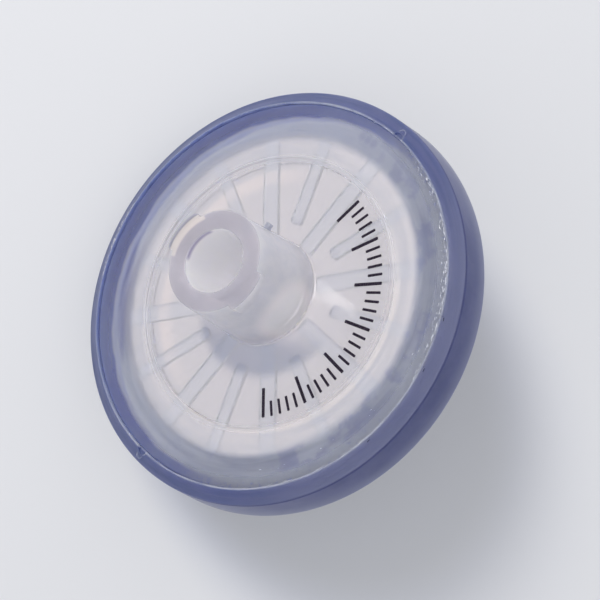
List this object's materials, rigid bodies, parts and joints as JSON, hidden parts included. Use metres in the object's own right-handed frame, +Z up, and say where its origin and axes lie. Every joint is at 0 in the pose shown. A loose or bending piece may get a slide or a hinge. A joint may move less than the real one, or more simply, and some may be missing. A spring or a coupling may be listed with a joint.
{
  "type": "syringe filter",
  "caption": "Round, flat disc filter for a syringe, with a ribbed milky housing, a tapered locking inlet hub, a slender tapered outlet spout and a moulded outer ring.",
  "frame": {"origin": "middle of the bounding box in X and Y, on the surface that the filter lies on", "axes": "+Z up from the surface; the flow axis leans over towards -X by 34.5 degrees, so that the inlet hub points up and to -X and the outlet spout down and to +X; +Y runs across the disc, parallel to the surface"},
  "size_m": [0.0256, 0.0294, 0.0188],
  "materials": {
    "housing_plastic": "milky translucent polypropylene, smooth as moulded",
    "ring_plastic": "clearer polypropylene, moulded over the rims",
    "glass_fibre": "white matted fibre",
    "membrane": "white, very finely porous film"
  },
  "bodies": {
    "root": {"inlet_cap": "housing_plastic", "outlet_base": "housing_plastic", "outer_ring": "ring_plastic", "glass_fibre_prefilter": "glass_fibre", "filter_membrane": "membrane"}
  },
  "joints": []
}
